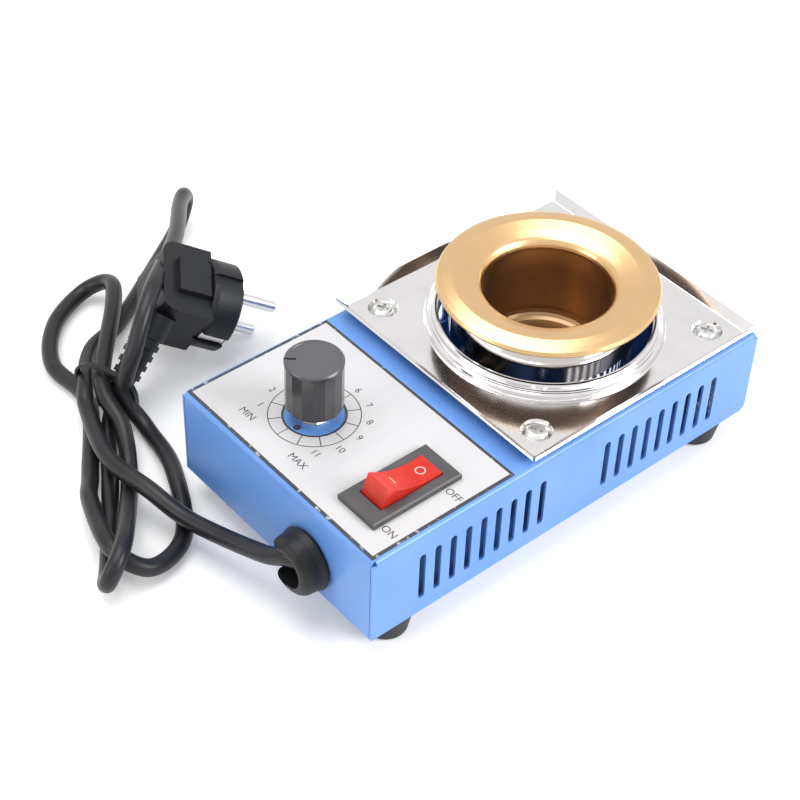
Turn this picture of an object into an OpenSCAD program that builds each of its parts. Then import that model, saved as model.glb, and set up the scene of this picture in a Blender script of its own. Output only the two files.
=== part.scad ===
// Solder pot: a round crucible in a vented sheet-steel housing, with a dial, a rocker switch,
// a stainless splash tray, and a mains cord tied in a bundle with its earthed two-pin plug.
// Origin at the middle of the housing, on the surface that the feet stand on. +X points to
// the crucible, -X to the controls and the cord, and +Z is up.

/* [Housing] */
// Length of the housing
house_l = 195; // [188:1:215]
// Width of the housing
house_w = 112; // [110:1:130]
// Height of the folded housing, without its feet
house_h = 40; // [38:1:50]
// Thickness of the steel sheet
sheet = 1; // [0.8:0.1:1.2]
// Outer radius of the folds
fold_r = 2; // [1.6:0.1:3]
// Gap of the open seam at each upright corner
seam_gap = 0.3; // [0.2:0.1:0.6]

/* [Vents] */
// Slots in each of the two groups of a long side
slot_count = 9; // [5:1:9]
// Distance from slot to slot
slot_pitch = 7.25; // [6.5:0.25:7.5]
// Width of a slot
slot_w = 3; // [2:0.25:4]
// Height of a slot with its round ends
slot_h = 22.4; // [16:0.2:24]
// Height of the slots' lower ends above the housing's lower edge
slot_rise = 7.2; // [6:0.2:10]
// Distance from the middle of the housing to the first slot of a group
slot_start = 16.5; // [14:0.5:18]

/* [Feet] */
// Height of a foot
foot_h = 12; // [10:1:16]
// Width of a foot at its top
foot_top_d = 21.5; // [19:0.5:22]
// Width of a foot where it stands
foot_low_d = 17; // [14:0.5:19]
// Distance of a foot's axis from the end of the housing
foot_end = 16; // [14:0.5:20]
// Distance of a foot's axis from the side of the housing
foot_side = 11; // [11:0.5:14]

/* [Controls] */
// Distance of the dial and the switch from the end of the housing
control_end = 30.5; // [28:0.5:33]
// Place of the dial across the housing
dial_y = 15; // [10:0.5:20]
// Place of the switch across the housing
switch_y = -34; // [-36:0.5:-30]
// Diameter of the knob's grip
knob_d = 21.4; // [18:0.2:24]
// Height of the knob
knob_h = 21.4; // [16:0.2:24]
// Height of the knob above the housing's top
knob_lift = 6.2; // [5.8:0.1:8]
// Flats around the knob
knob_flats = 16; // [12:2:24]
// Diameter of the knob's shaft
shaft_d = 6; // [5:0.5:6.5]
// Thickness of the face plate
label_t = 0.4; // [0.3:0.1:0.6]
// Length of the face plate
label_l = 66; // [62:1:70]
// Length of the switch's frame
frame_l = 40.8; // [38:0.2:44]
// Width of the switch's frame
frame_w = 19.9; // [18:0.2:22]
// Length of the opening for the rocker
rocker_hole_l = 29; // [28.6:0.2:30]
// Width of the rocker
rocker_w = 11.3; // [10:0.1:12]
// Angle that the rocker leans to each side
rocker_tilt = 15; // [10:1:16]

/* [Crucible] */
// Place of the crucible along the housing
well_x = 35; // [32:0.5:38]
// Diameter of the crucible's bore
bore_d = 50; // [44:0.5:52]
// Depth of the crucible below the top of its rim
well_depth = 40.5; // [34:0.5:42]
// Thickness of the crucible's wall
well_t = 1.5; // [1:0.1:2.5]
// Outer diameter of the crucible's rim
rim_d = 87; // [82:0.5:90]
// Height of the rim's crown above the housing's top
rim_rise = 24.5; // [22:0.5:28]
// Outer diameter of the heater can
can_d = 74.8; // [70:0.2:78]
// Thickness of the can's sheet
can_t = 0.6; // [0.5:0.1:1]
// Outer diameter of the band heater
heater_d = 61; // [58:0.5:63]

/* [Splash tray] */
// Length of the tray's floor between its folds
tray_l = 111.4; // [108:0.2:114]
// Width of the tray's floor between its folds
tray_w = 107.2; // [104:0.2:108]
// Thickness of the tray's sheet
tray_t = 0.8; // [0.6:0.1:1]
// Height of the tray's upper face above the housing
tray_lift = 2.8; // [2.4:0.1:3.4]
// How far each sloping edge rises and reaches out
flare = 3.6; // [3:0.1:4]
// Distance of the tray's screws from the crucible's axis along the housing
tray_screw_x = 45.2; // [44:0.2:47]
// Distance of the tray's screws from the crucible's axis across the housing
tray_screw_y = 44; // [43:0.2:46]
// Diameter of the tray screws' heads
tray_head_d = 8.5; // [7:0.1:9]

/* [Cord] */
// Diameter of the mains cord
cord_d = 7; // [6.5:0.1:7.5]
// Place of the cord's gland across the housing
gland_y = -20.5; // [-24:0.5:-16]
// Height of the gland's axis above the housing's lower edge
gland_rise = 14; // [13.5:0.5:18]
// Outer diameter of the gland
gland_d = 26; // [22:0.5:27]
// Diameter of the plug's face
plug_d = 37.2; // [36:0.2:38]

/* [Hidden] */
$fn = 64;

slack = 0.3;          // clearance between pieces that don't fit tightly
overlap = 0.01;       // how far a cutter runs past the face that it cuts
base_z = foot_h;
top_z = foot_h + house_h;
inner_l = house_l - 2 * sheet;
inner_w = house_w - 2 * sheet;
floor_z = base_z + sheet;
label_z = top_z + label_t;
control_x = control_end - house_l / 2;
foot_x = house_l / 2 - foot_end;
foot_y = house_w / 2 - foot_side;

// Points of an arc around c from angle a to angle b, in n steps
function arc(c, r, a, b, n) = [for (i = [0 : n])
    let (turn = a + (b - a) * i / n) c + r * [cos(turn), sin(turn)]];
function unit(v) = v / norm(v);
// Sideways direction of a path at point i, longer at a corner so that a strip keeps its thickness
function leg(path, i) = unit(path[i + 1] - path[i]);
function side_of(d) = [-d.y, d.x];
function mitre(path, i) =
    i == 0 ? side_of(leg(path, 0)) :
    i == len(path) - 1 ? side_of(leg(path, i - 1)) :
    let (a = side_of(leg(path, i - 1)), b = side_of(leg(path, i))) (a + b) / (1 + a * b);
// Outline of a strip of thickness t whose middle follows a path
function strip(path, t) = concat(
    [for (i = [0 : len(path) - 1]) path[i] + mitre(path, i) * t / 2],
    [for (i = [len(path) - 1 : -1 : 0]) path[i] - mitre(path, i) * t / 2]);
// Path of a sheet that is folded down at both ends of its flat top
function folded_down(half, top, low) = let (r = fold_r - sheet / 2, e = half - sheet / 2) concat(
    [[-e, low]], arc([r - e, top - sheet / 2 - r], r, 180, 90, 5),
    arc([e - r, top - sheet / 2 - r], r, 90, 0, 5), [[e, low]]);

module ring(outer_r, inner_r, h) {
    difference() {
        cylinder(r = outer_r, h = h);
        translate([0, 0, -1]) cylinder(r = inner_r, h = h + 2);
    }
}

module hex_nut(flats, bore, h) {
    difference() {
        cylinder(d = flats / cos(30), h = h, $fn = 6);
        translate([0, 0, -1]) cylinder(d = bore, h = h + 2);
    }
}

// Screw with a domed head: its head rests on z = 0 and its shank points down
module pan_screw(head_d, head_h, shank_d, length) {
    difference() {
        union() {
            rotate_extrude() polygon(concat([[0, 0], [head_d / 2, 0]],
                arc([head_d / 2 - head_h * 0.7, head_h * 0.3], head_h * 0.7, 0, 90, 4), [[0, head_h]]));
            translate([0, 0, -length]) cylinder(d = shank_d, h = length + overlap);
        }
        for (turn = [0, 90]) rotate(turn) translate([-head_d * 0.28, -head_d * 0.07, head_h * 0.45])
            cube([head_d * 0.56, head_d * 0.14, head_h]);
    }
}

module at_corners(x, y) {
    for (i = [-1, 1], j = [-1, 1]) translate([i * x, j * y, 0]) children();
}

// ---- Housing -------------------------------------------------------------------------------
can_hole_d = can_d + 17;       // opening in the housing's top that the can stands in
pot_bush_d = 7;                // threaded neck of the dial's potentiometer
cutout_l = 32.6;               // hole for the switch
cutout_w = 15.5;
gland_hole_d = 13;
tab_hole = [-9, -1.2];         // locating hole beside the dial's neck
tray_hole_d = 3.8;
foot_hole_d = 4.3;
tray_screw_d = 3.4;

module vent_cutters() {
    straight = slot_h - slot_w;
    for (i = [0 : slot_count - 1], s = [-1, 1])
        translate([s * (slot_start + i * slot_pitch), house_w, base_z + slot_rise + slot_w / 2])
            rotate([90, 0, 0]) {
                translate([-slot_w / 2, 0, 0]) cube([slot_w, straight, 2 * house_w]);
                cylinder(d = slot_w, h = 2 * house_w, $fn = 32);
                translate([0, straight, 0]) cylinder(d = slot_w, h = 2 * house_w, $fn = 32);
            }
}

module housing_shell() {
    end_w = inner_w - 2 * seam_gap;
    color("royalblue") difference() {
        union() {
            difference() {
                translate([-house_l / 2, 0, 0]) rotate([90, 0, 90])
                    linear_extrude(house_l)
                        polygon(strip(folded_down(house_w / 2, top_z, base_z), sheet));
                for (s = [-1, 1]) translate([s * house_l / 2, 0, top_z])
                    cube([2 * fold_r, 2 * house_w, 2 * fold_r + seam_gap], center = true);
            }
            difference() {
                translate([0, end_w / 2, 0]) rotate([90, 0, 0])
                    linear_extrude(end_w) polygon(strip(folded_down(house_l / 2, top_z, base_z), sheet));
                translate([0, 0, top_z]) cube([inner_l - 8, house_w, 3 * sheet], center = true);
            }
        }
        vent_cutters();
        translate([well_x, 0, top_z - 2 * sheet]) cylinder(d = can_hole_d, h = 4 * sheet);
        translate([control_x, dial_y, top_z - 2 * sheet]) {
            cylinder(d = pot_bush_d + slack, h = 4 * sheet);
            translate(tab_hole) cylinder(d = 3, h = 4 * sheet);
        }
        translate([hole_x, switch_y, top_z]) cube([cutout_l, cutout_w, 4 * sheet], center = true);
        translate([well_x, 0, top_z - 2 * sheet])
            at_corners(tray_screw_x, tray_screw_y) cylinder(d = tray_hole_d, h = 4 * sheet);
        translate([-house_l / 2 - sheet, gland_y, base_z + gland_rise])
            rotate([0, 90, 0]) cylinder(d = gland_hole_d, h = 3 * sheet);
        // Clipped lower corner at the crucible's end of each long side
        for (s = [-1, 1]) translate([house_l / 2, s * house_w / 2, base_z]) rotate([0, 45, 0])
            cube([3, 4 * sheet, 3], center = true);
    }
}

// ---- Base plate, brackets and feet ---------------------------------------------------------
base_flange_h = 7;
base_l = inner_l - 2 * slack;
base_w = inner_w - 2 * slack;
standoff_r = 29;               // circle of the can's three standoffs
standoff_h = 7;
m3 = 3;
m4 = 4;
board_x = -36;
board_y = 17;
board_l = 46;
board_w = 46;
board_t = 1.6;
board_lift = 8;
board_hole_x = board_l / 2 - 4;
board_hole_y = board_w / 2 - 4;
earth_x = -82;
earth_y = -4;
earth_wire_d = 1.6;

module base_plate() {
    color("steelblue") difference() {
        union() {
            translate([-base_l / 2, -base_w / 2, base_z]) cube([base_l, base_w, sheet]);
            for (s = [-1, 1]) translate([-base_l / 2 + 2, s * (base_w - sheet) / 2 - sheet / 2, base_z])
                cube([base_l - 4, sheet, base_flange_h]);
        }
        translate([0, 0, base_z - sheet]) {
            at_corners(foot_x, foot_y) cylinder(d = foot_hole_d, h = 3 * sheet);
            translate([well_x, 0, 0]) {
                for (turn = [0, 120, 240]) rotate(turn + 60)
                    translate([standoff_r, 0, 0]) cylinder(d = m3 + slack, h = 3 * sheet);
                for (turn = [0 : 45 : 315]) rotate(turn + 22.5)
                    translate([14, -1.5, 0]) cube([9, 3, 3 * sheet]);
            }
            translate([board_x, board_y, 0])
                at_corners(board_hole_x, board_hole_y) cylinder(d = m3 + slack, h = 3 * sheet);
            translate([earth_x, earth_y, 0]) cylinder(d = m4 + slack, h = 3 * sheet);
        }
    }
}

bracket_t = 1.5;
bracket_w = 15;
bracket_h = 14;

module corner_brackets() {
    reach = inner_l / 2 - foot_x + 6;
    color("silver") for (s = [0, 180], j = [-1, 1]) rotate(s) translate([foot_x - 6, j * foot_y, floor_z])
        difference() {
            union() {
                translate([0, -bracket_w / 2, 0]) cube([reach, bracket_w, bracket_t]);
                translate([reach - bracket_t, -bracket_w / 2, 0]) cube([bracket_t, bracket_w, bracket_h]);
            }
            translate([6, 0, -1]) cylinder(d = foot_hole_d, h = 4);
        }
}

foot_recess_d = 10;
foot_recess_h = 7;
foot_head_h = 2.4;
foot_head_d = 8;

module foot() {
    rotate_extrude() polygon([[foot_hole_d / 2, foot_recess_h], [foot_recess_d / 2, foot_recess_h],
        [foot_recess_d / 2, 0], [foot_low_d / 2 - 1, 0], [foot_low_d / 2, 1],
        [foot_top_d / 2, foot_h], [foot_hole_d / 2, foot_h]]);
}

module foot_at(x, y) { color("dimgray") translate([x * foot_x, y * foot_y, 0]) foot(); }
module foot_1() { foot_at(-1, -1); }
module foot_2() { foot_at(1, -1); }
module foot_3() { foot_at(1, 1); }
module foot_4() { foot_at(-1, 1); }

nut_h = 3.2;
foot_clamp_z = floor_z + bracket_t;      // face that the foot's nut is tightened against

module foot_screws() {
    color("silver") at_corners(foot_x, foot_y) translate([0, 0, foot_recess_h])
        rotate([180, 0, 0]) pan_screw(foot_head_d, foot_head_h, m4, foot_clamp_z + nut_h + 1 - foot_recess_h);
}

module foot_nuts() {
    color("silver") at_corners(foot_x, foot_y) translate([0, 0, foot_clamp_z]) hex_nut(7, m4, nut_h);
}

// ---- Face plate and dial -------------------------------------------------------------------
label_margin = 1.9;
dial_hole_d = 23;

module label_plate() {
    color("gainsboro") difference() {
        translate([-house_l / 2 + 1.2, -(house_w / 2 - label_margin), top_z])
            cube([label_l, house_w - 2 * label_margin, label_t]);
        translate([control_x, dial_y, top_z - 1]) cylinder(d = dial_hole_d, h = 3);
        translate([hole_x, switch_y, top_z]) cube([cutout_l, cutout_w, 3], center = true);
    }
}

knob_rim_d = knob_d + 0.8;
knob_rim_h = 2;
knob_z = top_z + knob_lift;
knob_hollow_h = 9;
knob_wall = 1.6;
boss_d = shaft_d + 4;
pointer_rest = 140;            // direction of the pointer at the dial's low end
shaft_top = knob_h - 5;        // depth of the shaft's socket in the knob
flat_cut = 1.5;                // how much the shaft's flat takes off

// Round shaft with a flat on its side, from z = 0 up
module flatted_shaft(h, flat_from) {
    difference() {
        cylinder(d = shaft_d, h = h);
        translate([shaft_d / 2 - flat_cut, -shaft_d / 2, flat_from]) cube([shaft_d, shaft_d, h]);
    }
}

// Grip of the knob: a prism with many flats
module knob_grip(h) {
    step = 360 / knob_flats;
    linear_extrude(h) polygon(arc([0, 0], knob_d / 2 / cos(step / 2), 0, 360 - step, knob_flats - 1));
}

module knob() {
    color("darkslategray") translate([control_x, dial_y, knob_z]) rotate(pointer_rest) difference() {
        union() {
            knob_grip(knob_h - knob_rim_h);
            translate([0, 0, knob_h - knob_rim_h]) rotate_extrude() polygon([[0, 0],
                [knob_rim_d / 2 - 0.4, 0], [knob_rim_d / 2, 0.4], [knob_rim_d / 2, knob_rim_h - 0.6],
                [knob_rim_d / 2 - 0.6, knob_rim_h], [knob_rim_d / 2 - 1.4, knob_rim_h],
                [knob_rim_d / 2 - 1.6, knob_rim_h - 0.2], [0, knob_rim_h - 0.2]]);
        }
        // Hollow skirt around the boss, open below
        translate([0, 0, -1]) ring(knob_d / 2 - knob_wall, boss_d / 2, knob_hollow_h + 1);
        translate([0, 0, -1]) flatted_shaft(shaft_top + 1, 0);
        // Pointer groove
        translate([6.5, -0.45, knob_h - 0.9]) cube([knob_rim_d, 0.9, 2]);
    }
}

pot_body_d = 24;
pot_body_h = 9;
neck_top = knob_z - 1;         // the neck ends below the knob
neck_bore = shaft_d + 0.1;     // running fit of the shaft in the neck
pot_z = top_z - sheet - pot_body_h;

module dial_shaft() {
    color("silver") translate([control_x, dial_y, pot_z + 3]) rotate(pointer_rest)
        flatted_shaft(knob_z + shaft_top - pot_z - 3, knob_z + 1 - pot_z - 3);
}

module potentiometer() {
    color("olive") translate([control_x, dial_y, 0]) difference() {
        union() {
            translate([0, 0, pot_z]) cylinder(d = pot_body_d, h = pot_body_h);
            translate([0, 0, top_z - sheet - overlap]) cylinder(d = pot_bush_d, h = neck_top - top_z + sheet);
            for (j = [-1, 0, 1]) translate([pot_body_d / 2 - 2, j * 5 - 1.2, pot_z + 1]) cube([8, 2.4, 0.8]);
            translate([tab_hole.x, tab_hole.y, top_z - sheet - overlap]) cylinder(d = 2.4, h = sheet);
        }
        translate([0, 0, pot_z + 2]) cylinder(d = neck_bore, h = knob_z);
        translate([0, 0, pot_z + 2]) cylinder(d = shaft_d + 4, h = 4);
    }
}

washer_h = 0.6;
washer_d = 12;
dial_nut_h = 2.2;

module dial_washer() {
    color("silver") translate([control_x, dial_y, top_z]) ring(washer_d / 2, pot_bush_d / 2, washer_h);
}

module dial_nut() {
    color("silver") translate([control_x, dial_y, top_z + washer_h]) hex_nut(10, pot_bush_d, dial_nut_h);
}

// ---- Switch --------------------------------------------------------------------------------
frame_h = 2.6;
frame_chamfer = 0.5;
pivot_x = control_x + 0.5;
pivot_z = label_z + 0.1;
pivot_pin_d = 2.4;
pivot_play = 0.05;
hole_w = rocker_w + 0.7;
switch_box_l = rocker_hole_l + 3;
switch_box_w = hole_w + 3;
switch_box_h = 18;
box_z = label_z - switch_box_h;
hole_x = control_x + 0.65;     // middle of the rocker's opening

// Bar along X whose two upper edges are chamfered
module chamfered_bar(l, w) {
    translate([-l / 2, 0, 0]) rotate([90, 0, 90]) linear_extrude(l) polygon([[-w / 2, 0], [w / 2, 0],
        [w / 2, frame_h - frame_chamfer], [w / 2 - frame_chamfer, frame_h],
        [frame_chamfer - w / 2, frame_h], [-w / 2, frame_h - frame_chamfer]]);
}

module switch_frame() {
    color("dimgray") translate([0, switch_y, 0]) difference() {
        union() {
            translate([control_x, 0, label_z]) intersection() {
                chamfered_bar(frame_l, frame_w);
                rotate(90) chamfered_bar(frame_w, frame_l);
            }
            translate([hole_x - switch_box_l / 2, -switch_box_w / 2, box_z])
                cube([switch_box_l, switch_box_w, switch_box_h + overlap]);
            // Snap wings under the housing's top
            for (s = [-1, 1]) translate([hole_x + s * switch_box_l / 2, 4, label_z - 4]) rotate([90, 0, 0])
                linear_extrude(8) polygon([[0, -4], [s * 1.2, 2.4 - label_t], [0, 2.4 - label_t]]);
        }
        translate([hole_x - rocker_hole_l / 2, -hole_w / 2, box_z + 2])
            cube([rocker_hole_l, hole_w, switch_box_h + frame_h]);
        translate([pivot_x, hole_w / 2 + 1.3, pivot_z]) rotate([90, 0, 0])
            cylinder(r = pivot_pin_d / 2 + pivot_play, h = hole_w + 2.6, $fn = 32);
        for (x = [-1, 1], y = [-1, 1]) translate([hole_x + x * 7.5 - 3.3, y * 3.4 - 0.5, box_z - 1])
            cube([6.6, 1, 4]);
    }
}

rocker_half = 13.85;
rocker_ridge = [12.73, 6.9];
rocker_valley = 4.4;

module rocker() {
    color("black") translate([pivot_x, switch_y, pivot_z]) rotate([0, rocker_tilt, 0]) {
        rotate([90, 0, 0]) translate([0, 0, -rocker_w / 2]) linear_extrude(rocker_w) polygon(concat(
            [[-rocker_half, -1.6], [-rocker_ridge.x, rocker_ridge.y]],
            arc([0, rocker_valley + 34], 34, 256, 284, 8),
            [[rocker_ridge.x, rocker_ridge.y], [rocker_half, -1.6],
             [7, -3.4], [3, -7.5], [-3, -7.5], [-7, -3.4]]));
        rotate([90, 0, 0]) translate([0, 0, -hole_w / 2 - 1])
            cylinder(d = pivot_pin_d, h = hole_w + 2, $fn = 32);
    }
}

blade_drop = 8;

module switch_terminals() {
    color("goldenrod") for (x = [-1, 1], y = [-1, 1])
        translate([hole_x + x * 7.5 - 3.15, switch_y + y * 3.4 - 0.4, box_z - blade_drop])
            difference() {
                cube([6.3, 0.8, blade_drop + 2.6]);
                translate([3.15, -1, 3]) rotate([-90, 0, 0]) cylinder(d = 1.8, h = 3, $fn = 24);
            }
}

// ---- Splash tray ---------------------------------------------------------------------------
tray_z = top_z + tray_lift;
dimple_d = 12.4;
dimple_low_d = 9.6;
collar_r = can_d / 2 + 10;     // foot of the collar around the can
corner_gap = 1;

// Path of the tray's sheet across one width: floor, then the sloping edges
function tray_path(half) = let (e = tray_z - tray_t / 2, r = 1) concat(
    [[-half - flare + tray_t / 3, e + flare - tray_t / 3]], arc([-half + 0.4, e + r], r, 225, 270, 3),
    arc([half - 0.4, e + r], r, 270, 315, 3), [[half + flare - tray_t / 3, e + flare - tray_t / 3]]);

// Plan of one pair of edges, mitred at the corners with a gap between neighbours
module mitred_plan(half_l, half_w, reach) {
    g = corner_gap / 2 * sqrt(2);
    for (s = [-1, 1]) polygon([[s * (half_l - 6), half_w - 6 - g], [s * (half_l + reach), half_w + reach - g],
        [s * (half_l + reach), g - half_w - reach], [s * (half_l - 6), g + 6 - half_w]]);
}

// Rolled double bead of the collar, turning down into the housing's opening
module collar() {
    in_r = collar_r - 3.4;
    mid = tray_z - tray_t / 2;
    path = concat([[collar_r + 2, mid]], arc([collar_r, mid + 1], 1, 270, 180, 3),
        arc([collar_r - 2, mid + 1.6], 1, 0, 90, 4), [[in_r + 1.2, mid + 2.8]],
        arc([in_r + 1.1, mid + 3.9], 1.1, 270, 180, 3), arc([in_r - 1, mid + 4], 1, 0, 180, 6),
        [[in_r - 2, mid - 3.4]]);
    translate([well_x, 0, 0]) rotate_extrude() polygon(strip(path, tray_t));
}

module splash_tray() {
    color("silver") {
        difference() {
            union() {
                translate([well_x, 0, tray_z - tray_t / 2])
                    cube([tray_l - 0.8, tray_w - 0.8, tray_t], center = true);
                intersection() {
                    translate([well_x, tray_w, 0]) rotate([90, 0, 0])
                        linear_extrude(2 * tray_w) polygon(strip(tray_path(tray_l / 2), tray_t));
                    translate([well_x, 0, top_z])
                        linear_extrude(20) mitred_plan(tray_l / 2, tray_w / 2, flare + 2);
                }
                intersection() {
                    translate([well_x - tray_l, 0, 0]) rotate([90, 0, 90])
                        linear_extrude(2 * tray_l) polygon(strip(tray_path(tray_w / 2), tray_t));
                    translate([well_x, 0, top_z]) rotate(90)
                        linear_extrude(20) mitred_plan(tray_w / 2, tray_l / 2, flare + 2);
                }
            }
            translate([well_x, 0, top_z]) {
                cylinder(r = collar_r + 0.6, h = 10);
                at_corners(tray_screw_x, tray_screw_y) cylinder(d = dimple_d, h = 10);
            }
        }
        collar();
        translate([well_x, 0, 0]) at_corners(tray_screw_x, tray_screw_y) rotate_extrude() polygon([
            [tray_hole_d / 2, top_z], [dimple_low_d / 2, top_z], [dimple_d / 2 - 0.3, tray_z - tray_t],
            [dimple_d / 2 + 0.4, tray_z - tray_t], [dimple_d / 2 + 0.4, tray_z], [dimple_d / 2 - 0.2, tray_z],
            [dimple_low_d / 2 - 0.2, top_z + tray_t], [tray_hole_d / 2, top_z + tray_t]]);
    }
}

tray_nut_h = 2.6;

module tray_screws() {
    color("silver") translate([well_x, 0, top_z + tray_t]) at_corners(tray_screw_x, tray_screw_y)
        rotate(25) pan_screw(tray_head_d, 2.3, tray_screw_d, tray_t + sheet + tray_nut_h + 1.5);
}

module tray_nuts() {
    color("silver") translate([well_x, 0, top_z - sheet - tray_nut_h])
        at_corners(tray_screw_x, tray_screw_y) hex_nut(6, tray_screw_d, tray_nut_h);
}

// ---- Crucible and its heater ---------------------------------------------------------------
crown_z = top_z + rim_rise;
bore_r = bore_d / 2;
well_r = bore_r + well_t;
well_floor = crown_z - well_depth;
can_low = floor_z + standoff_h;
can_top = crown_z - 3.5;
pad_top = well_floor - well_t;
crown_r = (rim_d / 2 + bore_r) / 2 + 2.2;
throat_r = 5;

module crucible() {
    rim_r = rim_d / 2;
    inside = concat([[0, well_floor]], arc([bore_r - 5, well_floor + 5], 5, 270, 360, 5),
        arc([bore_r + throat_r, crown_z - 5 - 2.2], throat_r, 180, 105, 6),
        [[bore_r + 6, crown_z - 1.5], [crown_r - 1, crown_z - 0.1], [crown_r + 1, crown_z],
         [rim_r - 2.6, crown_z - 0.9], [rim_r - 0.7, crown_z - 1.7], [rim_r, crown_z - 2.8]]);
    outside = concat([[rim_r, can_top], [well_r + 4, can_top]],
        [[well_r, can_top - 3]], arc([well_r - 6, pad_top + 6], 6, 0, -90, 5), [[0, pad_top]]);
    color("gold") translate([well_x, 0, 0]) rotate_extrude() polygon(concat(inside, outside));
}

heater_gap = 0.3;
heater_z = well_floor + 1;
heater_h = 29;
lug_w = 12;
lug_z = heater_z + 10;
band_split = 3;
lug_t = 1.2;
lug_out = can_d / 2 - can_t - 0.6;     // how far the clamp lugs reach from the axis
clamp_x = 2.6 - lug_out;               // place of the clamp's screw from the axis
clamp_d = 2.5;

module band_heater() {
    lug_in = heater_d / 2 - 1;
    color("darkgray") translate([well_x, 0, 0]) {
        difference() {
            translate([0, 0, heater_z]) ring(heater_d / 2, well_r + heater_gap, heater_h);
            translate([-heater_d, -band_split / 2, heater_z - 1]) cube([heater_d, band_split, heater_h + 2]);
        }
        for (s = [-1, 1]) difference() {
            translate([-lug_out, s > 0 ? band_split / 2 : -band_split / 2 - lug_t, lug_z])
                cube([lug_out - lug_in + 2, lug_t, lug_w]);
            translate([clamp_x, s * band_split, lug_z + lug_w / 2]) rotate([90, 0, 0])
                cylinder(d = clamp_d + 0.2, h = 4, center = true, $fn = 24);
        }
    }
}

module heater_clamp_screw() {
    grip = band_split + 2 * lug_t;
    color("silver") translate([well_x + clamp_x, -grip / 2, lug_z + lug_w / 2]) rotate([90, 0, 0]) {
        pan_screw(4.5, 1.6, clamp_d, grip + 3);
        translate([0, 0, -grip - 2]) rotate(30) hex_nut(5, clamp_d - 0.1, 2);
    }
}

sleeve_r = can_d / 2 - can_t - slack;
lead_slot_w = 18;

module insulation_sleeve() {
    color("ivory") translate([well_x, 0, pad_top]) difference() {
        ring(sleeve_r, heater_d / 2 + slack, can_top - 3 - pad_top);
        translate([-sleeve_r - 1, -lead_slot_w / 2, -1]) cube([sleeve_r, lead_slot_w, can_top]);
    }
}

pad_z = can_low + can_t;

module insulation_pad() {
    color("ivory") translate([well_x, 0, pad_z]) difference() {
        cylinder(r = sleeve_r, h = pad_top - pad_z);
        for (turn = [0, 120, 240]) rotate(turn + 60)
            translate([standoff_r, 0, -1]) cylinder(d = 8, h = pad_top);
    }
}

lead_hole_z = lug_z - 6;
lead_spread = 5;

module heater_can() {
    color("silver") translate([well_x, 0, can_low]) difference() {
        ring_h = can_top - can_low;
        union() {
            ring(can_d / 2, can_d / 2 - can_t, ring_h);
            cylinder(r = can_d / 2 - can_t / 2, h = can_t);
        }
        for (turn = [0, 120, 240]) rotate(turn + 60)
            translate([standoff_r, 0, -1]) cylinder(d = m3 + slack, h = 3);
        for (s = [-1, 1]) translate([-can_d / 2 - 2, s * lead_spread, lead_hole_z - can_low])
            rotate([0, 90, 0]) cylinder(d = 4, h = 6);
    }
}

module can_standoffs() {
    color("goldenrod") translate([well_x, 0, floor_z]) for (turn = [0, 120, 240]) rotate(turn + 60)
        translate([standoff_r, 0, 0]) hex_nut(6, m3, standoff_h);
}

module can_screws() {
    color("silver") translate([well_x, 0, 0]) for (turn = [0, 120, 240]) rotate(turn + 60)
        translate([standoff_r, 0, 0]) {
            translate([0, 0, can_low + can_t]) pan_screw(5.5, 2, m3, can_t + 3);
            translate([0, 0, base_z]) rotate([180, 0, 0]) pan_screw(5.5, 2, m3, sheet + 3);
        }
}

// ---- Control electronics -------------------------------------------------------------------
board_z = floor_z + board_lift;
board_top = board_z + board_t;

module control_board() {
    color("darkgreen") translate([board_x, board_y, board_z]) difference() {
        translate([-board_l / 2, -board_w / 2, 0]) cube([board_l, board_w, board_t]);
        translate([0, 0, -1]) at_corners(board_hole_x, board_hole_y) cylinder(d = m3 + slack, h = 4);
    }
}

module board_standoffs() {
    color("goldenrod") translate([board_x, board_y, floor_z])
        at_corners(board_hole_x, board_hole_y) hex_nut(6, m3, board_lift);
}

module board_screws() {
    color("silver") translate([board_x, board_y, 0]) at_corners(board_hole_x, board_hole_y) {
        translate([0, 0, board_top]) pan_screw(5.5, 2, m3, board_t + 3);
        translate([0, 0, base_z]) rotate([180, 0, 0]) pan_screw(5.5, 2, m3, sheet + 3);
    }
}

sink_x = board_x + 12;
sink_y = board_y + 2;
sink_l = 22;
sink_h = 20;

module heatsink() {
    color("lightgray") translate([sink_x, sink_y - sink_l / 2, board_top]) {
        cube([2, sink_l, sink_h]);
        for (i = [0 : 4]) translate([0, i * (sink_l - 1.2) / 4, 0]) cube([9, 1.2, sink_h]);
    }
}

module triac() {
    color("black") translate([sink_x - 4.4, sink_y - 5, board_top + 3]) cube([4.4, 10, 9]);
    color("silver") translate([sink_x - 1.2, sink_y - 5, board_top + 12 - overlap]) cube([1.2, 10, 6]);
    color("silver") for (j = [-1, 0, 1]) translate([sink_x - 2.8, sink_y + j * 2.5 - 0.4, board_top])
        cube([0.6, 0.8, 3 + overlap]);
}

module film_capacitor() {
    color("firebrick") translate([board_x - 14, board_y + 8, board_top]) cube([7, 13, 12]);
}

block_w = 20;
block_x = board_x;
block_y = board_y - board_w / 2 + 5;

module terminal_block() {
    color("seagreen") translate([block_x - block_w / 2, block_y - 4, board_top]) difference() {
        cube([block_w, 8, 10]);
        for (i = [0 : 3]) translate([2.5 + i * 5, 0, 0]) {
            translate([0, -1, 4]) rotate([-90, 0, 0]) cylinder(d = 3, h = 6, $fn = 24);
            translate([0, 5, 7]) cylinder(d = 3, h = 4, $fn = 24);
        }
    }
}

module earth_stud() {
    color("goldenrod") translate([earth_x, earth_y, 0]) {
        translate([0, 0, base_z]) rotate([180, 0, 0]) pan_screw(7, 2, m4, sheet + 9);
        translate([0, 0, floor_z]) hex_nut(7, m4 - 0.1, nut_h);
        translate([0, 0, floor_z + nut_h + earth_wire_d]) hex_nut(7, m4 - 0.1, nut_h);
    }
}

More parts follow.
